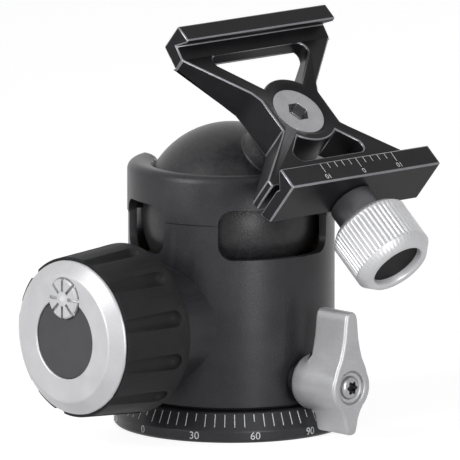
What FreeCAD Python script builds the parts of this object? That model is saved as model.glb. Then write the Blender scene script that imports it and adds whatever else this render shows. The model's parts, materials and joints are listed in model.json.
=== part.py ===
# Tripod ball head, millimetres. The base's underside is z = 0 and its axis is Z.
# The main knob points along -X and the pan lock lever along -Y.
import FreeCAD
import Part
import Sketcher
import math
import os

doc = FreeCAD.newDocument("BallHead")
sheet = doc.addObject("Spreadsheet::Sheet", "sizes")

# Driving dimensions: alias, value
SIZES = [
    # ball and its place
    ("ball_room", 1.2), ("ball_height", 45.2), ("rest_lean", 40.5), ("seat_gap", 0.05),
    ("neck_radius", 6.5), ("neck_waist", 6.2), ("neck_foot", 0.8), ("stem_hole", 3.3),
    ("stem_hole_floor", 8.0), ("fit_gap", 0.05), ("run_gap", 0.1), ("air_gap", 0.3), ("past", 1.0),
    # base
    ("base_radius", 24.9), ("base_edge", 0.5), ("base_band", 2.4), ("base_top", 6.2),
    ("cone_set_in", 1.9), ("bush_radius", 6.0), ("thread_radius", 3.97), ("bush_length", 9.0),
    ("post_radius", 11.8), ("base_screw_circle", 8.9), ("base_screw_radius", 1.25),
    ("base_screw_head", 2.3), ("base_screw_head_depth", 1.4), ("base_screw_length", 7.4),
    ("drum_radius", 14.0), ("drum_height", 4.6), ("drum_screw_length", 5.6),
    ("washer_thickness", 0.6), ("washer_set_in", 1.8),
    # housing: the bore lies a wall inside it, and the ball its room inside the bore
    ("housing_radius", 21.8), ("housing_wall", 1.6), ("floor_thickness", 3.1),
    ("housing_edge", 0.5), ("collar_step", 0.2), ("collar_rise", 0.6), ("rim_rise", 11.0),
    ("rim_round", 1.8), ("lip_gap", 0.4), ("lip_rise", 9.7), ("seat_rise", 5.1),
    ("throat_rise", 8.0), ("seat_ring_rise", 1.3),
    ("window_drop", 6.9), ("window_rise", 3.8), ("window_corner", 3.3),
    ("front_window_start", -51.3), ("front_window_end", 22.0),
    ("side_window_start", 84.5), ("side_window_end", 123.8), ("notch_room", 0.5),
    # inside the housing
    ("carrier_rise", 1.4), ("carrier_web", 2.4), ("carrier_wall", 1.9), ("carrier_bore", 8.0),
    ("spring_inner", 12.0), ("spring_set_in", 2.2), ("spring_thickness", 0.6),
    ("cup_bore", 9.0), ("cup_depth", 7.4), ("wedge_width", 12.0), ("wedge_length", 5.6),
    ("wedge_set_in", 5.3), ("wedge_heel", 4.3), ("wedge_low", 2.4), ("wedge_high", 0.4),
    # main knob, measured along its own axis from the housing's outer face
    ("knob_drop", 2.3), ("boss_radius", 12.6), ("boss_root", 14.2), ("boss_end", 4.2),
    ("spindle_radius", 3.6), ("bushing_radius", 6.0),
    ("bushing_end", 5.2), ("core_start", 5.6), ("core_radius", 11.4), ("core_end", 23.8),
    ("grip_start", 5.8), ("grip_back", 15.3), ("grip_shoulder", 8.1), ("grip_radius", 18.0),
    ("grip_front", 16.9), ("groove_radius", 1.8), ("groove_set_in", 0.1), ("groove_start", 9.2),
    ("ring_rear", 16.25), ("ring_edge", 0.6), ("ring_face", 13.5), ("ring_end", 26.6),
    ("ring_bore", 8.5), ("inlay_end", 26.2), ("knob_screw_radius", 1.5),
    ("knob_screw_head", 3.0), ("knob_screw_tip", 13.2), ("spindle_end", 21.2),
    ("dial_offset", 8.55), ("dial_radius", 4.25), ("dial_start", 24.6), ("dial_end", 27.2),
    ("dial_hub", 1.3), ("dial_hub_wall", 0.25), ("dial_edge", 0.3), ("dial_slot", 0.7),
    ("dial_slot_depth", 0.9), ("dial_stem_radius", 1.9), ("dial_stem_start", 16.7),
    # pan lock, measured along its own axis from the housing's outer face
    ("pan_height", 12.1), ("pan_spindle_radius", 1.9),
    ("pan_bush_radius", 4.2), ("pan_collar_start", 0.6),
    ("pan_collar_end", 1.7), ("pan_collar_radius", 3.9), ("lever_hub_start", 1.9),
    ("lever_hub_rear", 5.9), ("lever_hub_edge", 0.7), ("lever_hub_front", 5.3), ("lever_start", 5.4),
    ("lever_end", 14.8),
    ("lever_up", 16.1), ("lever_down", 10.1), ("lever_waist_up", 3.1), ("lever_tip_up", 1.7),
    ("lever_waist_down", 3.5), ("lever_tip_down", 1.5), ("lever_recess", 3.45),
    ("lever_recess_depth", 1.0), ("lever_screw_radius", 2.5), ("lever_screw_dome", 1.1),
    ("lever_screw_tip", 8.2), ("lever_screw_shank", 0.9), ("lever_screw_grip", 2.4), ("shoe_length", 4.0),
    ("shoe_width", 9.0), ("shoe_low", 10.9), ("shoe_high", 14.9),
    # clamp, in its own axes: X along the jaws, Y across away from the moving jaw, Z along the stem
    ("clamp_half", 21.5), ("clamp_floor", 31.9), ("jaw_top", 36.4), ("clamp_under", 23.5),
    ("far_outer", 22.9), ("far_lip", 18.85), ("far_root", 20.5), ("far_foot", 17.3),
    ("far_under", 30.0), ("arm_under", 28.8), ("jaw_lip_drop", 0.9), ("root_drop", 3.6),
    ("waist_half", 8.3), ("waist_far", 3.7), ("waist_near", 4.8), ("waist_blend", 1.3),
    ("hub_radius", 8.6), ("frame_hole_corner", 1.8), ("far_hole_half", 16.0), ("near_hole_half", 12.3),
    ("near_hole_edge", 13.3), ("near_shoulder", 16.8), ("near_bar_out", 18.5), ("near_bar_bottom", 24.6),
    ("screw_head_radius", 6.1), ("screw_head_depth", 2.9), ("screw_head_sink", 0.5), ("screw_mouth", 7.1),
    ("screw_radius", 3.2), ("screw_tip", 12.0), ("hex_half", 2.2), ("hex_depth", 3.0),
    ("near_lip", 17.75), ("near_root", 20.3), ("near_outer", 22.95),
    ("jaw_bottom", 24.4), ("near_foot", 19.9), ("jaw_under_edge", 1.0),
    ("pin_radius", 1.3), ("pin_half_spacing", 12.6), ("pin_height", 27.6), ("pin_start", 12.8),
    ("pin_end", 21.9), ("draw_height", 28.4), ("draw_radius", 2.4), ("draw_start", 13.4),
    ("jaw_close", 1.25),
    ("knob_collar_radius", 5.0), ("knob_collar_start", 23.1), ("drum_start", 29.3),
    ("drum_end", 39.9), ("drum_back_edge", 1.2), ("clamp_knob_radius", 8.7), ("clamp_knob_face", 41.9),
    ("clamp_knob_face_radius", 7.0), ("plug_radius", 5.6), ("plug_depth", 1.2),
    ("recess_depth", 1.6),
]
VALUE = dict(SIZES)
for row, (alias, value) in enumerate(SIZES, start=1):
    sheet.set("A%d" % row, alias)
    sheet.set("B%d" % row, str(value))
    sheet.setAlias("B%d" % row, alias)
doc.recompute()

FINAL = []


def expression(text):
    """Write a formula in the sheet's names as FreeCAD reads it."""
    words = []
    token = ""
    for letter in text + " ":
        if letter.isalnum() or letter == "_":
            token += letter
            continue
        words.append("sizes." + token if token in VALUE else token)
        words.append(letter)
        token = ""
    return "".join(words).strip()


def bind(item, name, formula, unit=""):
    item.setExpression(name, "(" + expression(formula) + ")" + unit)


def plane(body, role):
    for feature in body.Origin.OriginFeatures:
        if feature.Role == role:
            return feature


def outline(body, name, role, points):
    """A closed polygon whose corners are formulas of the sheet's sizes."""
    sketch = body.newObject("Sketcher::SketchObject", name)
    sketch.AttachmentSupport = (plane(body, role), [""])
    sketch.MapMode = "FlatFace"
    count = len(points)
    for index in range(count):
        turn = 2 * math.pi * index / count
        after = 2 * math.pi * (index + 1) / count
        start = FreeCAD.Vector(30 + 9 * math.cos(turn), 30 + 9 * math.sin(turn), 0)
        end = FreeCAD.Vector(30 + 9 * math.cos(after), 30 + 9 * math.sin(after), 0)
        sketch.addGeometry(Part.LineSegment(start, end), False)
    for index in range(count):
        sketch.addConstraint(Sketcher.Constraint("Coincident", index, 2, (index + 1) % count, 1))
    for index, (across, up) in enumerate(points):
        for kind, formula in (("DistanceX", across), ("DistanceY", up)):
            number = sketch.addConstraint(Sketcher.Constraint(kind, -1, 1, index, 1, 1.0 + index))
            sketch.setExpression("Constraints[%d]" % number, expression("1 mm * (" + formula + ")"))
    return sketch


def lathe(name, points, angle=360):
    """A body turned about Z from (radius, height) corners."""
    body = doc.addObject("PartDesign::Body", name)
    sketch = outline(body, name + "_profile", "XZ_Plane", points)
    turned = body.newObject("PartDesign::Revolution", name + "_turned")
    turned.Profile = sketch
    turned.ReferenceAxis = (plane(body, "Z_Axis"), [""])
    turned.Angle = angle
    sketch.Visibility = False
    return body


def slab(name, role, points, length, midplane=False):
    """A body padded from a polygon in an origin plane."""
    body = doc.addObject("PartDesign::Body", name)
    sketch = outline(body, name + "_profile", role, points)
    pad = body.newObject("PartDesign::Pad", name + "_pad")
    pad.Profile = sketch
    bind(pad, "Length", length)
    pad.Midplane = midplane
    return body


def box(name, low, high):
    item = doc.addObject("Part::Box", name)
    for axis, side, start, end in zip("xyz", ("Length", "Width", "Height"), low, high):
        bind(item, "Placement.Base." + axis, start)
        bind(item, side, "(" + end + ") - (" + start + ")")
    return item


TURN = {"Z": (0, 0, 1, 0), "-X": (0, 1, 0, -90), "-Y": (1, 0, 0, 90), "Y": (1, 0, 0, -90)}


def rod(name, radius, low, high, axis="Z", at=("0", "0")):
    """A cylinder from low to high along an axis, off that axis by at."""
    item = doc.addObject("Part::Cylinder", name)
    x, y, z, angle = TURN[axis]
    item.Placement.Rotation = FreeCAD.Rotation(FreeCAD.Vector(x, y, z), angle)
    bind(item, "Radius", radius)
    bind(item, "Height", "(" + high + ") - (" + low + ")")
    places = {"Z": (at[0], at[1], low), "-X": ("-(" + low + ")", at[0], at[1]),
              "-Y": (at[0], "-(" + low + ")", at[1]), "Y": (at[0], low, at[1])}
    for letter, formula in zip("xyz", places[axis]):
        bind(item, "Placement.Base." + letter, formula)
    return item


def ball(name, radius, at=("0", "0", "ball_height")):
    item = doc.addObject("Part::Sphere", name)
    bind(item, "Radius", radius)
    for letter, formula in zip("xyz", at):
        bind(item, "Placement.Base." + letter, formula)
    return item


def join(name, items):
    item = doc.addObject("Part::MultiFuse", name)
    item.Shapes = items
    return item


def cut(name, base, tools):
    item = doc.addObject("Part::Cut", name)
    item.Base = base
    item.Tool = tools[0] if len(tools) == 1 else join(name + "_tools", tools)
    return item


def rounded(base, name, radius, chosen):
    """Fillet the edges of base that chosen picks."""
    doc.recompute()
    item = doc.addObject("Part::Fillet", name)
    item.Base = base
    numbers = [i for i, edge in enumerate(base.Shape.Edges, start=1) if chosen(edge)]
    item.Edges = [(number, VALUE[radius], VALUE[radius]) for number in numbers]
    return item


def radial(edge):
    """A level straight edge that runs out from the Z axis."""
    ends = [vertex.Point for vertex in edge.Vertexes]
    if len(ends) < 2 or not isinstance(edge.Curve, (Part.Line, Part.LineSegment)):
        return False
    return abs(ends[0].z - ends[1].z) < 0.01


def on_axis(item, axis):
    """Turn a body drawn on Z to stand out from the housing's face along -X or -Y."""
    if axis == "-X":
        item.Placement.Rotation = FreeCAD.Rotation(FreeCAD.Vector(0, 1, 0), -90)
        bind(item, "Placement.Base.x", "-housing_radius")
        bind(item, "Placement.Base.z", KNOB_HEIGHT)
    if axis == "-Y":
        item.Placement.Rotation = FreeCAD.Rotation(FreeCAD.Vector(1, 0, 0), 90)
        bind(item, "Placement.Base.y", "-housing_radius")
        bind(item, "Placement.Base.z", "pan_height")
    return item


def leaning(item):
    """Stand a piece drawn about the ball's centre on the leaning stem."""
    item.Placement.Rotation = FreeCAD.Rotation(FreeCAD.Vector(1, 0, 0), VALUE["rest_lean"])
    bind(item, "Placement.Rotation.Angle", "rest_lean", " * 1 deg")
    bind(item, "Placement.Base.z", "ball_height")
    return item


def keep(item, label):
    item.Label = label
    FINAL.append(item)
    return item


def ring(label, inner, outer, low, high):
    return lathe(label, [(inner, low), (outer, low), (outer, high), (inner, high)])


def around(count, radius, first=0.0):
    """Formulas for the centres of copies spaced evenly on a circle."""
    spots = []
    for index in range(count):
        turn = "(%s deg)" % (first + 360.0 * index / count)
        spots.append((radius + " * cos" + turn, radius + " * sin" + turn))
    return spots


# Base plate: a low disc whose upper edge is the graduated cone
def base_parts():
    disc = lathe("base_disc", [
        ("bush_radius + fit_gap", "0"), ("base_radius - base_edge", "0"),
        ("base_radius", "base_edge"), ("base_radius", "base_band"),
        ("base_radius - cone_set_in", "base_top"), ("bush_radius + fit_gap", "base_top")])
    holes = []
    for number, at in enumerate(around(3, "base_screw_circle", 90)):
        holes.append(rod("base_hole_%d" % number, "base_screw_radius + run_gap", "-past",
                         "base_top + past", "Z", at))
        holes.append(rod("base_sink_%d" % number, "base_screw_head + run_gap", "-past",
                         "base_screw_head_depth + run_gap", "Z", at))
    keep(cut("base_plate_cut", disc, holes), "base_plate")
    keep(lathe("bushing_body", [
        ("thread_radius", "0"), ("bush_radius", "0"),
        ("bush_radius", "bush_length"), ("thread_radius", "bush_length")]), "thread_bushing")
    post = ring("post_ring", "bush_radius + fit_gap", "post_radius", "base_top", POST_TOP)
    taps = []
    for number, at in enumerate(around(3, "base_screw_circle", 90)):
        taps.append(rod("post_tap_%d" % number, "base_screw_radius + fit_gap", "base_top - past",
                        "base_screw_length + run_gap * 2", "Z", at))
    for number, at in enumerate(around(3, "base_screw_circle", 30)):
        taps.append(rod("post_drum_tap_%d" % number, "base_screw_radius + fit_gap",
                        DRUM_TOP + " - drum_screw_length - run_gap * 2", POST_TOP + " + past", "Z", at))
    keep(cut("post_cut", post, taps), "pan_post")
    drum = ring("drum_ring", "bush_radius + fit_gap", "drum_radius", POST_TOP, DRUM_TOP)
    holes = []
    for number, at in enumerate(around(3, "base_screw_circle", 30)):
        holes.append(rod("drum_hole_%d" % number, "base_screw_radius + run_gap", POST_TOP + " - past",
                         DRUM_TOP + " + past", "Z", at))
        holes.append(rod("drum_sink_%d" % number, "base_screw_head + run_gap",
                         DRUM_TOP + " - base_screw_head_depth - run_gap", DRUM_TOP + " + past", "Z", at))
    keep(cut("drum_cut", drum, holes), "pan_drum")
    screws = []
    for number, at in enumerate(around(3, "base_screw_circle", 90)):
        screws.append(rod("base_screw_head_%d" % number, "base_screw_head", "run_gap",
                          "base_screw_head_depth", "Z", at))
        screws.append(rod("base_screw_shank_%d" % number, "base_screw_radius", "run_gap",
                          "base_screw_length", "Z", at))
    keep(join("base_screw_group", screws), "base_screws")
    screws = []
    for number, at in enumerate(around(3, "base_screw_circle", 30)):
        screws.append(rod("drum_screw_head_%d" % number, "base_screw_head",
                          DRUM_TOP + " - base_screw_head_depth", DRUM_TOP + " - run_gap", "Z", at))
        screws.append(rod("drum_screw_shank_%d" % number, "base_screw_radius",
                          DRUM_TOP + " - drum_screw_length", DRUM_TOP + " - run_gap", "Z", at))
    keep(join("drum_screw_group", screws), "drum_screws")
    keep(ring("lower_washer_body", "post_radius + run_gap", BORE + " - washer_set_in", "base_top",
              "base_top + washer_thickness"), "lower_pan_washer")


BORE = "(housing_radius - housing_wall)"
BALL = "(housing_radius - housing_wall - ball_room)"
COLLAR = "(housing_radius + collar_step)"
LIP = "sqrt((housing_radius - housing_wall - ball_room + lip_gap)^2 - lip_rise^2)"
THROAT = "sqrt((housing_radius - housing_wall - ball_room + lip_gap)^2 - throat_rise^2)"
SEAT_STEP = "sqrt((housing_radius - housing_wall - ball_room + lip_gap)^2 - seat_rise^2)"
NOTCH = "(neck_radius + notch_room)"
WINDOW_LOW = "(ball_height - window_drop)"
WINDOW_HIGH = "(ball_height + window_rise)"
RIM_TOP = "(ball_height + rim_rise)"
CARRIER_TOP = "(ball_height - " + BALL + " + carrier_rise)"
KNOB_HEIGHT = "(ball_height - " + BALL + " - knob_drop)"
FLOOR_LOW = "(base_top + washer_thickness + fit_gap)"
FLOOR_TOP = "(base_top + washer_thickness + fit_gap + floor_thickness)"
POST_TOP = "(base_top + washer_thickness + fit_gap * 2 + floor_thickness)"
DRUM_TOP = "(base_top + washer_thickness + fit_gap * 2 + floor_thickness + drum_height)"


def sector(name, start, end, low, high):
    """A window cutter: part of a ring between two angles, with rounded corners."""
    outer = doc.addObject("Part::Cylinder", name + "_outer")
    bind(outer, "Radius", COLLAR + " + past")
    bind(outer, "Height", high + " - " + low)
    bind(outer, "Angle", end + " - (" + start + ")")
    bind(outer, "Placement.Base.z", low)
    inner = rod(name + "_inner", BORE + " * 0.7", low + " - past", high + " + past")
    item = rounded(cut(name + "_sharp", outer, [inner]), name, "window_corner", radial)
    item.Placement.Rotation = FreeCAD.Rotation(FreeCAD.Vector(0, 0, 1), 1)
    bind(item, "Placement.Rotation.Angle", start + " - 90", " * 1 deg")
    return item


def openings(prefix, low, high):
    """The windows and the two drop notches, as cutters."""
    tools = [
        sector(prefix + "_front_window", "front_window_start", "front_window_end", low, high),
        sector(prefix + "_left_window", "-side_window_end", "-side_window_start", low, high),
        sector(prefix + "_right_window", "side_window_start", "side_window_end", low, high)]
    for side, start, end in (("front", "-" + COLLAR + " - past", "-" + BORE + " * 0.5"),
                             ("back", BORE + " * 0.5", COLLAR + " + past")):
        tools.append(box(prefix + "_notch_" + side, ("-" + NOTCH, start, "ball_height"),
                         (NOTCH, end, RIM_TOP + " + past")))
        tools.append(rod(prefix + "_notch_floor_" + side, NOTCH, start, end, "Y",
                         ("0", "ball_height")))
    return tools


# Housing: collar, pillars and the lower barrel in one casting, with the knob's boss
def housing_parts():
    shell = lathe("housing_shell", [
        ("carrier_bore", "base_top + air_gap"), ("housing_radius - housing_edge", "base_top + air_gap"),
        ("housing_radius", "base_top + air_gap + housing_edge"),
        ("housing_radius", "ball_height + collar_rise - air_gap"), (COLLAR, "ball_height + collar_rise"),
        (COLLAR, RIM_TOP + " - rim_round")] + [
        (COLLAR + " - rim_round * (1 - cos(%d deg))" % turn,
         RIM_TOP + " - rim_round * (1 - sin(%d deg))" % turn) for turn in (15, 30, 45, 60, 75, 90)] + [
        ("carrier_bore", RIM_TOP)])
    boss = doc.addObject("Part::Cone", "knob_boss")
    boss.Placement.Rotation = FreeCAD.Rotation(FreeCAD.Vector(0, 1, 0), -90)
    bind(boss, "Radius1", "boss_root")
    bind(boss, "Radius2", "boss_radius")
    bind(boss, "Height", "housing_radius + boss_end - carrier_bore")
    bind(boss, "Placement.Base.x", "-carrier_bore")
    bind(boss, "Placement.Base.z", KNOB_HEIGHT)
    solid = join("housing_solid", [shell, boss])
    crown = "(" + COLLAR + " - rim_round - " + LIP + ")"
    bore = lathe("housing_bore_cutter", [
        ("0", "base_top - past"), (BORE, "base_top - past"), (BORE, "ball_height + seat_rise"),
        (SEAT_STEP, "ball_height + seat_rise"), (THROAT, "ball_height + throat_rise"),
        (LIP, "ball_height + lip_rise")] + [
        (LIP + " + " + crown + " * (1 - cos(%d deg))" % turn,
         "ball_height + lip_rise + (rim_rise - lip_rise) * sin(%d deg)" % turn)
        for turn in (20, 40, 60, 75)] + [
        (COLLAR + " - rim_round", RIM_TOP), (COLLAR + " - rim_round", RIM_TOP + " + past"),
        ("0", RIM_TOP + " + past")])
    tools = [bore] + openings("housing", WINDOW_LOW, WINDOW_HIGH)
    tools.append(rod("boss_bore", "bushing_radius + fit_gap", "carrier_bore",
                     "housing_radius + boss_end + past", "-X", ("0", KNOB_HEIGHT)))
    tools.append(rod("pan_bore", "pan_bush_radius + fit_gap", "carrier_bore", "housing_radius + past", "-Y",
                     ("0", "pan_height")))
    keep(cut("housing_cut", solid, tools), "housing")
    keep(ring("floor_ring_body", "post_radius + run_gap", BORE + " - fit_gap",
              FLOOR_LOW, FLOOR_TOP), "floor_ring")

    seat = ring("seat_blank", LIP, BORE + " - fit_gap", "ball_height + seat_ring_rise",
                "ball_height + seat_rise - fit_gap")
    tools = [ball("seat_ball", BALL + " + seat_gap")] + openings("seat", WINDOW_LOW, WINDOW_HIGH)
    keep(cut("seat_cut", seat, tools), "upper_ball_seat")

    cup = ring("cup_blank", "cup_bore", BORE + " - fit_gap",
               CARRIER_TOP + " + fit_gap * 2 + spring_thickness", CARRIER_TOP + " + cup_depth")
    keep(cut("cup_cut", cup, [ball("cup_ball", BALL + " + seat_gap")]), "lower_ball_cup")
    keep(ring("spring_body", "spring_inner", BORE + " - spring_set_in", CARRIER_TOP + " + fit_gap",
              CARRIER_TOP + " + fit_gap + spring_thickness"), "cup_spring")

    carrier = lathe("carrier_blank", [
        (BORE + " - carrier_wall", FLOOR_TOP + " + fit_gap"),
        (BORE + " - fit_gap", FLOOR_TOP + " + fit_gap"), (BORE + " - fit_gap", CARRIER_TOP),
        ("carrier_bore", CARRIER_TOP), ("carrier_bore", DRUM_TOP + " + carrier_web"),
        (BORE + " - carrier_wall", DRUM_TOP + " + carrier_web")])
    channel = box("carrier_channel",
                  ("-housing_radius", "-wedge_width / 2 - run_gap", KNOB_HEIGHT + " - wedge_heel - run_gap"),
                  ("0", "wedge_width / 2 + run_gap", CARRIER_TOP + " + past"))
    door = box("carrier_door", ("-shoe_width / 2 - air_gap", "-housing_radius", "shoe_low - air_gap"),
               ("shoe_width / 2 + air_gap", "0", "shoe_high + air_gap"))
    passage = rod("carrier_spindle_hole", "pan_spindle_radius + air_gap", "drum_radius", BORE + " + past",
                  "-Y", ("0", "pan_height"))
    keep(cut("carrier_cut", carrier, [channel, door, passage]), "wedge_carrier")
    keep(on_axis(lathe("main_bushing_body", [
        ("spindle_radius + run_gap", "run_gap - housing_wall"),
        ("bushing_radius", "run_gap - housing_wall"), ("bushing_radius", "bushing_end"),
        ("spindle_radius + run_gap", "bushing_end")]), "-X"), "main_bushing")
    keep(on_axis(lathe("pan_bushing_body", [
        ("pan_spindle_radius + run_gap", "run_gap - housing_wall"),
        ("pan_bush_radius", "run_gap - housing_wall"), ("pan_bush_radius", "pan_collar_start - fit_gap"),
        ("pan_spindle_radius + run_gap", "pan_collar_start - fit_gap")]), "-Y"), "pan_bushing")


# Ball and neck in one piece, with a blind hole for the clamp's screw
def ball_parts():
    globe = ball("stem_ball", BALL, ("0", "0", "0"))
    neck = lathe("stem_neck", [
        ("0", "0"), ("neck_radius", "0"), ("neck_radius", BALL),
        ("neck_waist", "(clamp_under + " + BALL + ") / 2"),
        ("neck_radius", "clamp_under - neck_foot"), ("neck_radius", "clamp_under - fit_gap"),
        ("0", "clamp_under - fit_gap")])
    hole = rod("stem_hole_cutter", "stem_hole", "stem_hole_floor", "clamp_under + past")
    solid = cut("stem_cut", join("stem_solid", [globe, neck]), [hole])
    keep(leaning(solid), "ball_stem")


# Pressure wedge, pushed along X under the cup by the main spindle
def wedge_parts():
    heel = "-(" + BORE + " - wedge_set_in)"
    wedge = slab("wedge_body", "XZ_Plane", [
        (heel, KNOB_HEIGHT + " - wedge_heel"), (heel + " + wedge_length", KNOB_HEIGHT + " - wedge_heel"),
        (heel + " + wedge_length", CARRIER_TOP + " - wedge_low"), (heel, CARRIER_TOP + " - wedge_high")],
        "wedge_width", True)
    keep(wedge, "pressure_wedge")
    shoe = box("shoe_block", ("-shoe_width / 2", "-drum_radius - air_gap - shoe_length", "shoe_low"),
               ("shoe_width / 2", "-drum_radius + past", "shoe_high"))
    face = rod("shoe_face", "drum_radius + air_gap", "shoe_low - past", "shoe_high + past")
    keep(cut("shoe_cut", shoe, [face]), "pan_shoe")


# Main knob: core, rubber grip, silver face ring, inlay, spindle and its screw
def knob_parts():
    dial_hole = ("dial_offset", "0")
    core = lathe("core_blank", [
        ("spindle_radius + fit_gap", "core_start"), ("core_radius", "core_start"),
        ("core_radius", "core_end"), ("knob_screw_head + run_gap", "core_end"),
        ("knob_screw_head + run_gap", "spindle_end"), ("spindle_radius + fit_gap", "spindle_end")])
    stem_hole = rod("core_dial_hole", "dial_stem_radius + run_gap", "dial_stem_start - run_gap",
                    "core_end + past", "Z", dial_hole)
    keep(on_axis(cut("core_cut", core, [stem_hole]), "-X"), "main_knob_core")

    grip = lathe("grip_blank", [
        ("core_radius + fit_gap", "grip_start"), ("grip_back", "grip_start"),
        ("grip_back + (grip_radius - grip_back) * 0.72", "grip_start + (grip_shoulder - grip_start) * 0.36"),
        ("grip_radius", "grip_shoulder"), ("grip_front", "core_end"),
        ("core_radius + fit_gap", "core_end")])
    tools = []
    for number, at in enumerate(around(12, "(grip_radius - groove_set_in)", 15)):
        tools.append(rod("groove_%d" % number, "groove_radius", "groove_start + groove_radius",
                         "core_end + past", "Z", at))
        tools.append(ball("groove_end_%d" % number, "groove_radius",
                          (at[0], at[1], "groove_start + groove_radius")))
    keep(on_axis(cut("grip_cut", grip, tools), "-X"), "main_knob_grip")

    face = lathe("ring_blank", [
        ("ring_bore", "core_end"), ("ring_rear", "core_end"), ("ring_rear", "core_end + ring_edge"),
        ("ring_face", "ring_end"), ("ring_bore", "ring_end")])
    keep(on_axis(cut("ring_cut", face, [rod("ring_dial_hole", "dial_radius + run_gap", "core_end - past",
                                           "ring_end + past", "Z", dial_hole)]), "-X"), "main_knob_ring")
    inlay = lathe("inlay_blank", [("0", "core_end + run_gap"), ("ring_bore - run_gap", "core_end + run_gap"),
                                  ("ring_bore - run_gap", "inlay_end"), ("0", "inlay_end")])
    keep(on_axis(cut("inlay_cut", inlay, [rod("inlay_dial_hole", "dial_radius + run_gap", "core_end - past",
                                             "inlay_end + past", "Z", dial_hole)]), "-X"), "main_knob_inlay")
    keep(on_axis(lathe("spindle_body", [
        ("knob_screw_radius + fit_gap", "knob_screw_tip - run_gap"), ("0", "knob_screw_tip - run_gap"),
        ("0", "air_gap - housing_wall - wedge_set_in"),
        ("spindle_radius", "air_gap - housing_wall - wedge_set_in"), ("spindle_radius", "spindle_end"),
        ("knob_screw_radius + fit_gap", "spindle_end")]), "-X"), "main_spindle")
    keep(on_axis(lathe("knob_screw_body", [
        ("0", "knob_screw_tip"), ("knob_screw_radius", "knob_screw_tip"),
        ("knob_screw_radius", "spindle_end"), ("knob_screw_head", "spindle_end"),
        ("knob_screw_head", "core_end - run_gap"),
        ("0", "core_end - run_gap")]), "-X"), "main_knob_screw")

    dial = lathe("dial_blank", [
        ("0", "dial_start"), ("dial_radius", "dial_start"), ("dial_radius", "dial_end - dial_edge"),
        ("dial_radius - dial_edge", "dial_end"), ("dial_hub", "dial_end"), ("0", "dial_end + dial_edge")])
    slots = []
    for number in range(8):
        slot = doc.addObject("Part::Box", "dial_slot_%d" % number)
        bind(slot, "Length", "dial_radius * 2")
        bind(slot, "Width", "dial_slot")
        bind(slot, "Height", "dial_slot_depth + past")
        turn = FreeCAD.Rotation(FreeCAD.Vector(0, 0, 1), 45 * number)
        slot.Placement.Rotation = turn
        angle = "(%d deg)" % (45 * number)
        bind(slot, "Placement.Base.x",
             "(dial_hub + dial_hub_wall) * cos" + angle + " + dial_slot / 2 * sin" + angle)
        bind(slot, "Placement.Base.y",
             "(dial_hub + dial_hub_wall) * sin" + angle + " - dial_slot / 2 * cos" + angle)
        bind(slot, "Placement.Base.z", "dial_end - dial_slot_depth")
        slots.append(slot)
    cut_dial = cut("dial_cut", dial, slots)
    stem = ring("dial_stem_body", "0", "dial_stem_radius", "dial_stem_start", "dial_start")
    for item, label in ((cut_dial, "friction_dial"), (stem, "friction_dial_stem")):
        on_axis(item, "-X")
        bind(item, "Placement.Base.z", KNOB_HEIGHT + " + dial_offset")
        keep(item, label)


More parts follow.
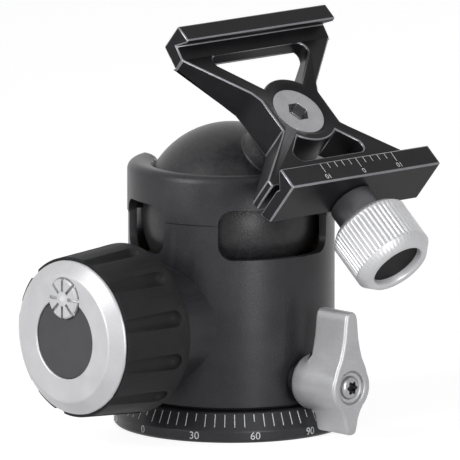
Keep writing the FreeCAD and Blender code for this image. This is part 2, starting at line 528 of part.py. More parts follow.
# Pan lock: a wing lever on a spindle that presses the shoe on the drum
def lever_parts():
    corners = []
    for side, z_sign, tip, reach, waist in (
            ("up", "", "lever_tip_up", "lever_up", "lever_waist_up"),
            ("down", "-", "lever_tip_down", "lever_down", "lever_waist_down")):
        rows = [("lever_hub_front * 0.92", "reach * 0.12"), ("lever_hub_front * 0.79", "reach * 0.25"),
                (waist, "reach * 0.39"), ("(" + waist + " * 0.6 + " + tip + " * 0.4)", "reach * 0.51"),
                ("(" + waist + " * 0.25 + " + tip + " * 0.75)", "reach * 0.66"), (tip, "reach * 0.88"),
                (tip + " * 0.85", "reach * 0.95"), (tip + " * 0.5", "reach")]
        rows = [(half, height.replace("reach", reach)) for half, height in rows]
        run = [(half, z_sign + "(" + height + ")") for half, height in rows]
        mirrored = [("-(" + half + ")", height) for half, height in reversed(run)]
        if side == "up":
            corners += run + mirrored
        else:
            corners += [("-(" + half + ")", height) for half, height in run] + list(reversed(
                [(half, height) for half, height in run]))
    wing = slab("lever_wing", "XY_Plane", corners, "lever_end - lever_start")
    wing.Placement.Base = FreeCAD.Vector(0, 0, VALUE["lever_start"])
    bind(wing, "Placement.Base.z", "lever_start")
    hub = lathe("lever_hub", [("0", "lever_hub_start"),
                              ("lever_hub_rear - lever_hub_edge", "lever_hub_start"),
                              ("lever_hub_rear", "lever_hub_start + lever_hub_edge"),
                              ("lever_hub_rear", "lever_start"), ("lever_hub_front", "lever_end"),
                              ("0", "lever_end")])
    tools = [rod("lever_recess_cutter", "lever_recess", "lever_end - lever_recess_depth", "lever_end + past"),
             rod("lever_screw_hole", "lever_screw_shank + run_gap", "lever_start", "lever_end"),
             rod("lever_spindle_hole", "pan_spindle_radius + fit_gap", "lever_hub_start - past",
                 "lever_screw_tip + lever_screw_grip + run_gap")]
    keep(on_axis(cut("lever_cut", join("lever_solid", [wing, hub]), tools), "-Y"), "pan_lever")
    keep(on_axis(lathe("lever_screw_body", [
        ("0", "lever_screw_tip"), ("lever_screw_shank", "lever_screw_tip"),
        ("lever_screw_shank", "lever_end - lever_recess_depth + fit_gap"),
        ("lever_screw_radius", "lever_end - lever_recess_depth + fit_gap"),
        ("lever_screw_radius", "lever_end - lever_recess_depth + lever_screw_dome * 0.45"),
        ("lever_screw_radius * 0.75", "lever_end - lever_recess_depth + lever_screw_dome * 0.85"),
        ("lever_screw_radius * 0.35", "lever_end - lever_recess_depth + lever_screw_dome"),
        ("0", "lever_end - lever_recess_depth + lever_screw_dome")]), "-Y"), "pan_lever_screw")
    keep(on_axis(lathe("pan_spindle_body", [
        ("0", "drum_radius + air_gap * 2 + shoe_length - housing_radius"),
        ("pan_spindle_radius", "drum_radius + air_gap * 2 + shoe_length - housing_radius"),
        ("pan_spindle_radius", "lever_screw_tip + lever_screw_grip"),
        ("lever_screw_shank + fit_gap", "lever_screw_tip + lever_screw_grip"),
        ("lever_screw_shank + fit_gap", "lever_screw_tip - run_gap"),
        ("0", "lever_screw_tip - run_gap")]), "-Y"), "pan_spindle")
    keep(on_axis(lathe("pan_collar_body", [
        ("pan_spindle_radius + fit_gap", "pan_collar_start"), ("pan_collar_radius", "pan_collar_start"),
        ("pan_collar_radius", "pan_collar_end"), ("pan_spindle_radius + fit_gap", "pan_collar_end")]),
        "-Y"), "pan_lever_collar")


# Clamp frame: a waisted body between the fixed jaw and the near bar, with two triangular holes
def upright(edge):
    """A straight edge along Z."""
    ends = [vertex.Point for vertex in edge.Vertexes]
    return len(ends) == 2 and abs(ends[0].x - ends[1].x) + abs(ends[0].y - ends[1].y) < 0.001


def frame_hole(name, half, edge, sign):
    """A triangular hole whose wide side is at edge and whose point is cut back round the hub."""
    blank = slab(name + "_blank", "XY_Plane", [
        ("-" + half, sign + edge), (half, sign + edge), ("0", sign + "(" + edge + " - " + half + ")")],
        "clamp_floor + past")
    soft = rounded(blank, name + "_soft", "frame_hole_corner", upright)
    return cut(name, soft, [rod(name + "_hub", "hub_radius", "-past", "clamp_floor + past * 2")])


def clamp_parts():
    jaw = slab("fixed_jaw", "YZ_Plane", [
        ("far_outer", "jaw_top"), ("far_lip", "jaw_top"), ("far_lip", "jaw_top - jaw_lip_drop"),
        ("far_root", "jaw_top - root_drop"), ("far_foot", "clamp_floor"), ("far_foot", "arm_under"),
        ("far_outer", "far_under")], "clamp_half * 2", True)
    side = slab("frame_side", "YZ_Plane", [
        ("-near_bar_out", "clamp_floor"), ("-near_bar_out", "near_bar_bottom"),
        ("-waist_near - waist_blend", "clamp_under"), ("waist_far", "clamp_under"),
        ("far_foot + run_gap", "arm_under"), ("far_foot + run_gap", "clamp_floor")], "clamp_half * 2", True)
    edge = [("clamp_half", "far_foot + run_gap"),
            ("waist_half + waist_blend", "waist_far + waist_blend * 1.9"),
            ("waist_half", "waist_far"), ("waist_half", "-waist_near"),
            ("waist_half + waist_blend", "-waist_near - waist_blend"), ("clamp_half", "-near_shoulder"),
            ("clamp_half", "-near_bar_out")]
    plan = slab("frame_plan", "XY_Plane", edge + [("-(" + x + ")", y) for x, y in reversed(edge)],
                "clamp_floor + past")
    body = doc.addObject("Part::Common", "frame_body")
    body.Base = side
    body.Tool = plan
    solid = join("clamp_solid", [jaw, body])
    sink = doc.addObject("Part::Cone", "screw_sink")
    bind(sink, "Radius1", "screw_radius + run_gap")
    bind(sink, "Radius2", "screw_head_radius + run_gap")
    bind(sink, "Height", "screw_head_depth")
    bind(sink, "Placement.Base.z", "clamp_floor - screw_head_sink - screw_head_depth")
    mouth = doc.addObject("Part::Cone", "sink_mouth")
    bind(mouth, "Radius1", "screw_head_radius + run_gap")
    bind(mouth, "Radius2", "screw_mouth")
    bind(mouth, "Height", "screw_head_sink")
    bind(mouth, "Placement.Base.z", "clamp_floor - screw_head_sink")
    tools = [sink, mouth, rod("screw_hole", "screw_radius + run_gap", "clamp_under - past", "clamp_floor"),
             frame_hole("far_hole", "far_hole_half", "far_foot", ""),
             frame_hole("near_hole", "near_hole_half", "near_hole_edge", "-"),
             rod("draw_hole", "draw_radius + run_gap", "draw_start - jaw_close - run_gap * 2",
                 "near_bar_out + past", "-Y", ("0", "draw_height"))]
    for side_name, sign in (("left", "-"), ("right", "")):
        tools.append(rod("pin_hole_" + side_name, "pin_radius + run_gap",
                         "pin_start - jaw_close - run_gap * 2", "near_bar_out + past", "-Y",
                         (sign + "pin_half_spacing", "pin_height")))
    keep(leaning(cut("clamp_cut", solid, tools)), "clamp_frame")

    head = lathe("screw_blank", [
        ("0", "screw_tip"), ("screw_radius", "screw_tip"),
        ("screw_radius", "clamp_floor - screw_head_sink - screw_head_depth - run_gap"),
        ("screw_head_radius", "clamp_floor - screw_head_sink - run_gap"),
        ("0", "clamp_floor - screw_head_sink - run_gap")])
    key = doc.addObject("Part::Prism", "hex_key")
    key.Polygon = 6
    bind(key, "Circumradius", "hex_half * 1.1547")
    bind(key, "Height", "hex_depth + past")
    bind(key, "Placement.Base.z", "clamp_floor - screw_head_sink - hex_depth")
    keep(leaning(cut("screw_cut", head, [key])), "clamp_screw")


# Moving jaw and its screw knob
def jaw_parts():
    jaw = slab("jaw_blank", "YZ_Plane", [
        ("-near_outer", "jaw_top"), ("-near_lip", "jaw_top"), ("-near_lip", "jaw_top - jaw_lip_drop"),
        ("-near_root", "jaw_top - root_drop"), ("-near_foot", "clamp_floor"),
        ("-near_foot", "jaw_bottom"), ("-near_outer", "jaw_bottom + jaw_under_edge")], "clamp_half * 2", True)
    tools = [rod("jaw_draw_hole", "draw_radius + run_gap", "near_bar_out", "near_outer + past", "-Y",
                 ("0", "draw_height"))]
    pins = []
    for name, side in (("left", "-"), ("right", "")):
        tools.append(rod("jaw_pin_hole_" + name, "pin_radius + fit_gap", "near_bar_out",
                         "pin_end + fit_gap", "-Y", (side + "pin_half_spacing", "pin_height")))
        pins.append(rod("guide_pin_" + name, "pin_radius", "pin_start", "pin_end", "-Y",
                        (side + "pin_half_spacing", "pin_height")))
    keep(leaning(cut("jaw_cut", jaw, tools)), "moving_jaw")
    keep(leaning(join("guide_pin_group", pins)), "jaw_guide_pins")

    def turned(name, points, label, tools=None):
        """A piece turned about the draw screw's own axis."""
        body = lathe(name, points)
        if tools:
            body = cut(name + "_cut", body, tools)
        body.Placement.Rotation = FreeCAD.Rotation(FreeCAD.Vector(1, 0, 0), VALUE["rest_lean"] + 90)
        bind(body, "Placement.Rotation.Angle", "rest_lean + 90", " * 1 deg")
        bind(body, "Placement.Base.y", "-draw_height * sin(rest_lean * 1 deg)")
        bind(body, "Placement.Base.z", "ball_height + draw_height * cos(rest_lean * 1 deg)")
        keep(body, label)

    turned("collar_body", [
        ("draw_radius + fit_gap", "knob_collar_start"), ("knob_collar_radius", "knob_collar_start"),
        ("knob_collar_radius", "drum_start"), ("draw_radius + fit_gap", "drum_start")], "clamp_knob_collar")
    turned("knob_blank", [
        ("draw_radius + fit_gap", "drum_start"), ("clamp_knob_radius - drum_back_edge", "drum_start"),
        ("clamp_knob_radius", "drum_start + drum_back_edge"), ("clamp_knob_radius", "drum_end"),
        ("clamp_knob_face_radius", "clamp_knob_face"), ("plug_radius + fit_gap", "clamp_knob_face"),
        ("plug_radius + fit_gap", "clamp_knob_face - recess_depth - plug_depth"),
        ("draw_radius + fit_gap", "clamp_knob_face - recess_depth - plug_depth")], "clamp_knob")
    turned("plug_body", [
        ("0", "clamp_knob_face - recess_depth - plug_depth + fit_gap"),
        ("plug_radius", "clamp_knob_face - recess_depth - plug_depth + fit_gap"),
        ("plug_radius", "clamp_knob_face - recess_depth"), ("0", "clamp_knob_face - recess_depth")],
        "clamp_knob_plug")
    turned("draw_body", [
        ("0", "draw_start"), ("draw_radius", "draw_start"),
        ("draw_radius", "clamp_knob_face - recess_depth - plug_depth"),
        ("0", "clamp_knob_face - recess_depth - plug_depth")], "draw_screw")


base_parts()
housing_parts()
ball_parts()
wedge_parts()
knob_parts()
lever_parts()
clamp_parts()
jaw_parts()

doc.recompute()

os.makedirs("parts", exist_ok=True)
for item in doc.Objects:
    if "Invalid" in item.State or "Error" in item.State:
        raise SystemExit("%s did not compute: %s" % (item.Name, item.State))
for item in FINAL:
    shape = item.Shape
    if shape.isNull() or not shape.isValid() or not shape.Solids:
        raise SystemExit("%s has no valid solid" % item.Label)
    shape.exportStep("parts/%s.step" % item.Label)
    print(item.Label, len(shape.Solids), round(shape.Volume, 2))
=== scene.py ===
import json
import math
import bmesh
import bpy
from mathutils import Matrix, Vector

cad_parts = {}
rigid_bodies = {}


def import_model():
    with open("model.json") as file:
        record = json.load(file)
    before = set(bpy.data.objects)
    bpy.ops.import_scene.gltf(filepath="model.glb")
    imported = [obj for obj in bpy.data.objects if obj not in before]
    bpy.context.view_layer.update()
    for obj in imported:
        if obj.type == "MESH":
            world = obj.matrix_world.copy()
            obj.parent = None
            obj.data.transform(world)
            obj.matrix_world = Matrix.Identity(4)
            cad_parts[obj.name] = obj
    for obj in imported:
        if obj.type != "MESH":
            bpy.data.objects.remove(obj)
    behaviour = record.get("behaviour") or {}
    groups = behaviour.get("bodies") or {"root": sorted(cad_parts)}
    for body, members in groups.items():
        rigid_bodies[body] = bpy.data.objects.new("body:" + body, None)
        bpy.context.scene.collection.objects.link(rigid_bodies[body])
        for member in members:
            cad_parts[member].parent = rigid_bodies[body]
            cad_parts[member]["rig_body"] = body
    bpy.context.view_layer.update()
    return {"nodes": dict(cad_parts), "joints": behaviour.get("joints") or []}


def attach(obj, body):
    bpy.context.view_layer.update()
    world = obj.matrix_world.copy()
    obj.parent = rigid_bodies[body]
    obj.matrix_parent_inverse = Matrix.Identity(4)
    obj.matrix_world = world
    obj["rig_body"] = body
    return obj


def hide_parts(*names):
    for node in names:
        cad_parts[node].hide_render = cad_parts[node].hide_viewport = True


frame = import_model()
MM = 0.001

# Places and axes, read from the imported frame
joints = {joint["name"]: joint for joint in frame["joints"]}
ball_centre = Vector(joints["ball_lean"]["pos_m"])
stem_way = Vector(joints["clamp_turn"]["axis"])
lean = math.atan2(-stem_way.y, stem_way.z)
knob_height = joints["main_knob_turn"]["pos_m"][2]
pan_height = joints["pan_lever_turn"]["pos_m"][2]
draw_point = Vector(joints["clamp_knob_turn"]["pos_m"])

STEM = Matrix.Translation(ball_centre) @ Matrix.Rotation(lean, 4, "X")
draw_rise = (STEM.inverted() @ draw_point).z
KNOB = Matrix.Translation((0, 0, knob_height)) @ Matrix.Rotation(-math.pi / 2, 4, "Y")
PAN = Matrix.Translation((0, 0, pan_height)) @ Matrix.Rotation(math.pi / 2, 4, "X")
DRAW = STEM @ Matrix.Translation((0, 0, draw_rise)) @ Matrix.Rotation(math.pi / 2, 4, "X")


def linear(hex_colour):
    """An sRGB hex colour as Blender's linear values."""
    parts = [int(hex_colour[i:i + 2], 16) / 255 for i in (1, 3, 5)]
    return [c / 12.92 if c <= 0.04045 else ((c + 0.055) / 1.055) ** 2.4 for c in parts] + [1.0]


def put(tree, kind, settings=None, links=None):
    """Add a shader node with its settings and the sockets that feed it."""
    node = tree.nodes.new(kind)
    for name, value in (settings or {}).items():
        if hasattr(node, name) and name not in node.inputs:
            setattr(node, name, value)
        else:
            node.inputs[name].default_value = value
    for name, source in (links or {}).items():
        tree.links.new(source, node.inputs[name])
    return node


def finish_material(name, low, high, metallic, rough, rough_spread, grain_mm, bump, blotch_mm=6.0, shine=0.5):
    """A surface with two mottled tones, a fine grain and roughness that varies with it."""
    material = bpy.data.materials.new(name)
    material.use_nodes = True
    tree = material.node_tree
    shader = tree.nodes["Principled BSDF"]
    place = put(tree, "ShaderNodeTexCoord").outputs["Object"]
    blotch = put(tree, "ShaderNodeTexNoise", {"Scale": 1 / (blotch_mm * MM), "Detail": 4.0}, {"Vector": place})
    grain = put(tree, "ShaderNodeTexNoise", {"Scale": 1 / (grain_mm * MM), "Detail": 2.0}, {"Vector": place})
    mixed = put(tree, "ShaderNodeMath", {"operation": "ADD"})
    tree.links.new(blotch.outputs["Fac"], mixed.inputs[0])
    tree.links.new(grain.outputs["Fac"], mixed.inputs[1])
    tones = put(tree, "ShaderNodeMapRange", {"From Min": 0.7, "From Max": 1.3}, {"Value": mixed.outputs[0]})
    ramp = put(tree, "ShaderNodeValToRGB", {}, {"Fac": tones.outputs[0]})
    ramp.color_ramp.elements[0].color = linear(low)
    ramp.color_ramp.elements[1].color = linear(high)
    tree.links.new(ramp.outputs["Color"], shader.inputs["Base Color"])
    roughness = put(tree, "ShaderNodeMapRange", {"To Min": rough - rough_spread, "To Max": rough + rough_spread},
                    {"Value": blotch.outputs["Fac"]})
    tree.links.new(roughness.outputs[0], shader.inputs["Roughness"])
    if bump:
        relief = put(tree, "ShaderNodeBump", {"Strength": bump, "Distance": grain_mm * MM * 0.5},
                     {"Height": grain.outputs["Fac"]})
        tree.links.new(relief.outputs["Normal"], shader.inputs["Normal"])
    shader.inputs["Metallic"].default_value = metallic
    shader.inputs["Specular IOR Level"].default_value = shine
    return material


# Bead-blasted black anodised aluminium: near black, broad soft highlights, grain of about 0.25 mm
black_anodised = finish_material("black_anodised", "#28282b", "#363639", 0.0, 0.34, 0.04, 0.25, 0.3, shine=0.25)
# The same black on machined parts: smoother, so the highlights are narrower
black_machined = finish_material("black_machined", "#1a1a1c", "#242426", 0.0, 0.34, 0.04, 0.3, 0.12, shine=0.1)
# Edges cut after blasting: smoother than the faces, and painted much lighter as a painted highlight along them
chamfer_painted_highlight = finish_material("chamfer_painted_highlight", "#77777b", "#8a8a8e", 0.6, 0.3, 0.03, 0.3, 0.05)
# Grey-black anodised ball, lightly mottled by use
ball_anodised = finish_material("ball_anodised", "#212123", "#343436", 0.0, 0.33, 0.05, 0.3, 0.35, 1.2, 0.28)
# Satin clear-anodised aluminium: near-white grey, soft highlights
silver_anodised = finish_material("silver_anodised", "#bcbcbe", "#ccccce", 0.45, 0.4, 0.04, 0.2, 0.12)
# The lever's clear-anodised casting, blasted coarser, and painted a shade darker as painted shade on its side
# turned from the light
silver_blasted_shaded = finish_material("silver_blasted_shaded", "#a6a6a8", "#b8b8ba", 0.5, 0.42, 0.05, 0.25, 0.3)
# Turned stainless steel: brighter and sharper than the aluminium
stainless = finish_material("stainless", "#8e8e91", "#a6a6a9", 0.9, 0.28, 0.05, 0.25, 0.08)
# Moulded rubber: matt dark grey with a fine pebble
rubber = finish_material("rubber", "#212122", "#2a2a2b", 0.0, 0.6, 0.05, 0.3, 0.35, shine=0.15)
# Dark grey satin disc set in the knob's face
inlay_anodised = finish_material("inlay_anodised", "#37373a", "#434345", 0.2, 0.45, 0.04, 0.2, 0.12)
# Satin anodised sleeve between the jaw and its knob: its silver painted dark grey as painted shade from the jaw
sleeve_shaded_silver = finish_material("sleeve_shaded_silver", "#58585b", "#68686b", 0.5, 0.38, 0.04, 0.2, 0.12)
# Oiled steel inside the head
oiled_steel = finish_material("oiled_steel", "#4a4a4c", "#5a5a5d", 0.9, 0.35, 0.05, 0.4, 0.1)
# Turned brass
brass = finish_material("brass", "#a8884a", "#c0a060", 0.95, 0.3, 0.05, 0.4, 0.1)
# Black acetal washer and seat: waxy, nearly smooth
acetal = finish_material("acetal", "#101011", "#171718", 0.0, 0.35, 0.05, 0.4, 0.05, shine=0.4)
# Moulded black plastic in the recess of the clamp knob
black_plastic = finish_material("black_plastic", "#060606", "#0a0a0a", 0.0, 0.6, 0.05, 0.25, 0.2, shine=0.15)
# Dark floor of a key recess: painted shade in the recess
key_recess_shade = finish_material("key_recess_shade", "#1c1c1d", "#2a2a2b", 0.6, 0.4, 0.05, 0.2, 0.1)
# White laser marks
white_mark = finish_material("white_mark", "#d8d8d8", "#e6e6e6", 0.0, 0.5, 0.03, 0.2, 0.0, shine=0.2)

NODE_FINISH = {
    black_anodised: ("base_plate", "housing", "wedge_carrier", "floor_ring", "main_knob_core"),
    black_machined: ("clamp_frame", "moving_jaw"),
    ball_anodised: ("ball_stem",),
    silver_anodised: ("clamp_knob", "main_knob_ring", "friction_dial"),
    sleeve_shaded_silver: ("clamp_knob_collar",),
    silver_blasted_shaded: ("pan_lever",),
    stainless: ("thread_bushing", "base_screws", "cup_spring", "clamp_screw", "jaw_guide_pins", "draw_screw",
                "main_spindle", "friction_dial_stem", "pan_lever_screw", "pan_spindle", "pan_lever_collar"),
    rubber: ("main_knob_grip",),
    inlay_anodised: ("main_knob_inlay",),
    oiled_steel: ("main_bushing", "pan_bushing", "pan_post", "pan_drum", "drum_screws", "main_knob_screw"),
    brass: ("lower_ball_cup", "pressure_wedge", "pan_shoe"),
    acetal: ("lower_pan_washer", "upper_ball_seat"),
    black_plastic: ("clamp_knob_plug",),
}
for material, names in NODE_FINISH.items():
    for name in names:
        mesh = frame["nodes"][name].data
        mesh.materials.clear()
        mesh.materials.append(material)


def piece(name, work, materials, body, place=Matrix.Identity(4), smooth=35, bevel=0.0, segments=2,
          replaced=(), edge_slot=-1, held_back=True):
    """Finish a bmesh as an object of this body, with softened edges."""
    bmesh.ops.transform(work, matrix=place, verts=work.verts)
    mesh = bpy.data.meshes.new(name)
    work.to_mesh(mesh)
    work.free()
    item = bpy.data.objects.new(name, mesh)
    bpy.context.scene.collection.objects.link(item)
    for material in materials:
        mesh.materials.append(material)
    for polygon in mesh.polygons:
        polygon.use_smooth = True
    if bevel:
        soften = item.modifiers.new("edges", "BEVEL")
        soften.width = bevel * MM
        soften.segments = segments
        soften.limit_method = "ANGLE"
        soften.angle_limit = math.radians(smooth)
        soften.harden_normals = False
        soften.material = edge_slot
        soften.use_clamp_overlap = held_back
    mesh.set_sharp_from_angle(angle=math.radians(smooth))
    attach(item, body)
    if replaced:
        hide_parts(*replaced)
    return item


def copied(node):
    """A merged copy of a CAD node's mesh."""
    work = bmesh.new()
    work.from_mesh(frame["nodes"][node].data)
    bmesh.ops.remove_doubles(work, verts=work.verts, dist=0.002 * MM)
    bmesh.ops.dissolve_limit(work, angle_limit=math.radians(1.0), verts=work.verts, edges=work.edges)
    return work


def body_of(node):
    return frame["nodes"][node]["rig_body"]


def dress(node, materials, bevel, segments=2, smooth=35, edge_slot=-1, held_back=True):
    """Stand a softened copy in for a CAD node."""
    return piece(node + "_finished", copied(node), materials, body_of(node), bevel=bevel,
                 segments=segments, smooth=smooth, replaced=(node,), edge_slot=edge_slot, held_back=held_back)


def turned(points, steps=128):
    """Spin a line of (radius, height) points in mm about Z."""
    work = bmesh.new()
    corners = [work.verts.new((radius * MM, 0, height * MM)) for radius, height in points]
    for first, second in zip(corners, corners[1:]):
        work.edges.new((first, second))
    bmesh.ops.spin(work, geom=work.verts[:] + work.edges[:], cent=(0, 0, 0), axis=(0, 0, 1),
                   angle=math.tau, steps=steps, use_merge=True, use_duplicate=False)
    bmesh.ops.remove_doubles(work, verts=work.verts, dist=0.001 * MM)
    bmesh.ops.recalc_face_normals(work, faces=work.faces)
    return work


# Softened copies of the machined parts
dress("housing", [black_anodised], 0.35, 3, 32)
dress("base_plate", [black_anodised], 0.15, 2, 20)
# The bevels of the clamp frame and jaw take the lighter chamfer colour, a painted highlight along their edges
dress("clamp_frame", [black_machined, chamfer_painted_highlight], 0.3, 2, 32, 1, False)
dress("moving_jaw", [black_machined, chamfer_painted_highlight], 0.35, 2, 32, 1, False)
dress("ball_stem", [ball_anodised], 0.3, 3, 32)
dress("main_knob_grip", [rubber], 0.35, 3, 32)
dress("main_knob_ring", [silver_anodised], 0.25, 3, 25)
dress("main_knob_inlay", [inlay_anodised], 0.1, 2, 32)
dress("friction_dial", [silver_anodised], 0.08, 2, 32)
dress("pan_lever", [silver_blasted_shaded], 0.6, 4, 32, -1, False)
# The knob's sleeve: silver painted darker, painted shade from the jaw
dress("clamp_knob_collar", [sleeve_shaded_silver], 0.4, 3, 32)
dress("clamp_screw", [stainless], 0.15, 2, 32)


def fluted_knob():
    """The clamp knob's drum, with 52 narrow flutes that run out at both ends."""
    flutes, depth = 52, 0.4
    rows = [30.5, 30.9, 31.3, 39.0, 39.5, 39.9]
    fade = {30.9: 0.6, 31.3: 1.0, 39.0: 1.0, 39.5: 0.6}
    profile = [(2.45, 29.3), (7.5, 29.3)] + [(8.7, row) for row in rows] + [
        (7.0, 41.9), (6.1, 41.9), (5.85, 41.75), (5.65, 41.5), (5.65, 39.1), (2.45, 39.1), (2.45, 29.3)]
    work = turned(profile, flutes * 8)
    for vertex in work.verts:
        share = fade.get(round(vertex.co.z / MM, 2))
        radius = math.hypot(vertex.co.x, vertex.co.y) / MM
        if share is None or radius < 8:
            continue
        wave = 0.5 + 0.5 * math.cos(flutes * math.atan2(vertex.co.y, vertex.co.x))
        scale = 1 - share * depth * wave ** 2.5 / radius
        vertex.co.x *= scale
        vertex.co.y *= scale
    piece("clamp_knob_finished", work, [silver_anodised], "clamp_knob", DRAW,
          replaced=("clamp_knob",), smooth=50)


fluted_knob()


def lobed_screw():
    """The lever's domed screw, with a six-lobe key recess."""
    recess = 1.3
    top = 21.8 + 13.8 + 1.1
    profile = [(0, top - 1.0), (recess, top - 1.0), (recess, top - 0.06), (1.7, top - 0.14), (2.1, top - 0.34),
               (2.35, top - 0.6), (2.5, top - 0.9), (2.5, top - 1.05), (0.9, top - 1.05), (0.9, 30.0), (0, 30.0)]
    work = turned(profile, 96)
    for vertex in work.verts:
        radius = math.hypot(vertex.co.x, vertex.co.y) / MM
        if abs(radius - recess) > 0.01:
            continue
        scale = 1 + 0.17 * math.cos(6 * math.atan2(vertex.co.y, vertex.co.x))
        vertex.co.x *= scale
        vertex.co.y *= scale
    # Faces at the bottom of the recess take the dark second material, painted shade in the recess
    for face in work.faces:
        middle = face.calc_center_median()
        if math.hypot(middle.x, middle.y) < 1.25 * MM:
            face.material_index = 1
    piece("lever_screw_head", work, [stainless, key_recess_shade], "pan_lever", PAN,
          smooth=50, replaced=("pan_lever_screw",))


lobed_screw()


def base_marks():
    """Graduations on the cone every 5 degrees and numbers on the band every 30."""
    work = bmesh.new()
    zero = -92.1
    slope = math.atan2(24.9 - 23.0, 6.2 - 2.4)
    for index in range(72):
        length = 1.65 if index % 6 == 0 else 2.8
        turn = math.radians(zero + 5 * index)
        top = 5.85
        middle = top - length * math.cos(slope) / 2
        radius = 23.0 + (6.2 - middle) * math.tan(slope)
        place = (Matrix.Rotation(turn, 4, "Z") @ Matrix.Translation((0, -radius * MM, middle * MM))
                 @ Matrix.Rotation(-slope, 4, "X"))
        size = Matrix.Diagonal((0.17 * MM, 0.05 * MM, length * MM, 1))
        bmesh.ops.create_cube(work, size=1.0, matrix=place @ size)
    piece("base_ticks", work, [white_mark], "base")
    for index in range(12):
        turn = math.radians(zero + 30 * index)
        words(str(30 * index), 1.62, "base_number_%d" % index, "base", wrap=(24.93, 1.45, turn))


def words(text, height, name, body, wrap=None, place=None):
    """Plain numbers as thin raised marks, wrapped on a cylinder or laid by a matrix."""
    curve = bpy.data.curves.new(name, "FONT")
    curve.body = text
    curve.size = height * 1.38 * MM
    curve.align_x = "CENTER"
    curve.align_y = "CENTER"
    curve.extrude = 0.02 * MM
    text_object = bpy.data.objects.new(name + "_text", curve)
    bpy.context.scene.collection.objects.link(text_object)
    bpy.context.view_layer.update()
    mesh = bpy.data.meshes.new_from_object(text_object)
    bpy.data.objects.remove(text_object)
    work = bmesh.new()
    work.from_mesh(mesh)
    bmesh.ops.remove_doubles(work, verts=work.verts, dist=0.001 * MM)
    if wrap:
        radius, level, turn = wrap
        long_edges = [edge for edge in work.edges if edge.calc_length() > 0.25 * MM]
        bmesh.ops.subdivide_edges(work, edges=long_edges, cuts=2)
        for vertex in work.verts:
            angle = turn + vertex.co.x / (radius * MM)
            out = radius * MM + vertex.co.z
            vertex.co = Vector((out * math.sin(angle), -out * math.cos(angle), level * MM + vertex.co.y))
    piece(name, work, [white_mark], body, place or Matrix.Identity(4))


base_marks()


def jaw_marks():
    """A plain scale along the moving jaw's top."""
    work = bmesh.new()
    top = 36.4
    for index in range(-5, 6):
        length = 2.4 if index % 5 == 0 else 1.4
        place = Matrix.Translation((index * 2.07 * MM, -(18.15 + length / 2) * MM, top * MM))
        size = Matrix.Diagonal((0.14 * MM, length * MM, 0.05 * MM, 1))
        bmesh.ops.create_cube(work, size=1.0, matrix=place @ size)
    piece("jaw_ticks", work, [white_mark], "jaw", STEM)
    for index, text in ((-5, "10"), (0, "0"), (5, "10")):
        place = (STEM @ Matrix.Translation((index * 2.07 * MM, -21.5 * MM, top * MM))
                 @ Matrix.Rotation(math.pi, 4, "Z"))
        words(text, 1.25, "jaw_number_%d" % (index + 5), "jaw", place=place)


jaw_marks()

# A pale floor under the base, and soft studio light
floor_work = bmesh.new()
bmesh.ops.create_grid(floor_work, x_segments=1, y_segments=1, size=4.0)
floor_mesh = bpy.data.meshes.new("floor")
floor_work.to_mesh(floor_mesh)
floor_work.free()
floor = bpy.data.objects.new("floor", floor_mesh)
bpy.context.scene.collection.objects.link(floor)


def seen_rays(tree):
    """1 for what the eye sees, straight, in a reflection or through glass, and 0 for light on the object."""
    ray = put(tree, "ShaderNodeLightPath")
    share = ray.outputs["Is Camera Ray"]
    for kind in ("Is Glossy Ray", "Is Transmission Ray"):
        either = put(tree, "ShaderNodeMath", {"operation": "MAXIMUM"})
        tree.links.new(share, either.inputs[0])
        tree.links.new(ray.outputs[kind], either.inputs[1])
        share = either.outputs[0]
    return share


def shadow_floor():
    """White to the eye, darker only under the object's own shadow."""
    material = bpy.data.materials.new("studio_floor")
    material.use_nodes = True
    tree = material.node_tree
    shader = tree.nodes["Principled BSDF"]
    shader.inputs["Base Color"].default_value = linear("#9a9a9a")
    shader.inputs["Roughness"].default_value = 0.9
    lift = put(tree, "ShaderNodeMath", {"operation": "MULTIPLY"})
    tree.links.new(seen_rays(tree), lift.inputs[0])
    lift.inputs[1].default_value = 0.86
    shader.inputs["Emission Color"].default_value = (1, 1, 1, 1)
    tree.links.new(lift.outputs[0], shader.inputs["Emission Strength"])
    return material


floor_mesh.materials.append(shadow_floor())

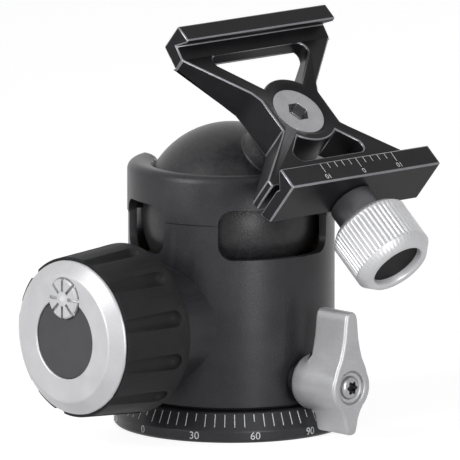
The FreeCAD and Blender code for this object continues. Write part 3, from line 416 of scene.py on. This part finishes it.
world = bpy.data.worlds.new("studio")
bpy.context.scene.world = world
world.use_nodes = True
sky = world.node_tree
background = sky.nodes["Background"]
background.inputs["Color"].default_value = (1, 1, 1, 1)
background.inputs["Strength"].default_value = 0.12
seen = put(sky, "ShaderNodeBackground", {"Color": (1, 1, 1, 1), "Strength": 1.0})
blend = put(sky, "ShaderNodeMixShader")
sky.links.new(seen_rays(sky), blend.inputs[0])
sky.links.new(background.outputs[0], blend.inputs[1])
sky.links.new(seen.outputs[0], blend.inputs[2])
sky.links.new(blend.outputs[0], sky.nodes["World Output"].inputs["Surface"])


def soft_lamp(name, position, target, width, height, power):
    lamp = bpy.data.lights.new(name, "AREA")
    lamp.shape = "RECTANGLE"
    lamp.size = width
    lamp.size_y = height
    lamp.energy = power
    item = bpy.data.objects.new(name, lamp)
    item.location = position
    item.rotation_euler = (Vector(target) - Vector(position)).to_track_quat("-Z", "Y").to_euler()
    bpy.context.scene.collection.objects.link(item)


camera_turn = math.radians(43.76)
camera_rise = math.radians(10.01)
aim = Vector((-0.22, 0.21, 41.1)) * MM
away = Vector((-math.sin(camera_turn) * math.cos(camera_rise),
               -math.cos(camera_turn) * math.cos(camera_rise), math.sin(camera_rise)))
side = Vector((math.cos(camera_turn), -math.sin(camera_turn), 0))
centre = Vector((0, 0, 0.045))
front = Vector((away.x, away.y, 0)).normalized()


def lamp_at(name, turn, rise, reach, width, height, radiance):
    """A soft box turned from the camera's side of the object, of a given brightness."""
    turn, rise = math.radians(turn), math.radians(rise)
    way = (front * math.cos(turn) + side * math.sin(turn)) * math.cos(rise) + Vector((0, 0, math.sin(rise)))
    soft_lamp(name, centre + way * reach, centre, width, height, radiance * math.pi * width * height)


lamp_at("key_box", -52, 24, 0.45, 0.16, 0.34, 9.0)
lamp_at("front_strip", 24, 3, 0.2, 0.035, 0.1, 15.0)
lamp_at("rim_box", 150, 20, 0.6, 0.05, 0.4, 5.0)

distance = 3.0
pixels_per_mm = 4.740
camera_data = bpy.data.cameras.new("photo_camera")
camera_data.sensor_width = 36
camera_data.lens = pixels_per_mm * distance / MM * 36 / 460
camera_data.clip_end = 20
camera = bpy.data.objects.new("photo_camera", camera_data)
camera.location = aim + away * distance
camera.rotation_euler = (-away).to_track_quat("-Z", "Y").to_euler()
bpy.context.scene.collection.objects.link(camera)
bpy.context.scene.camera = camera
bpy.context.scene.view_settings.view_transform = "Standard"
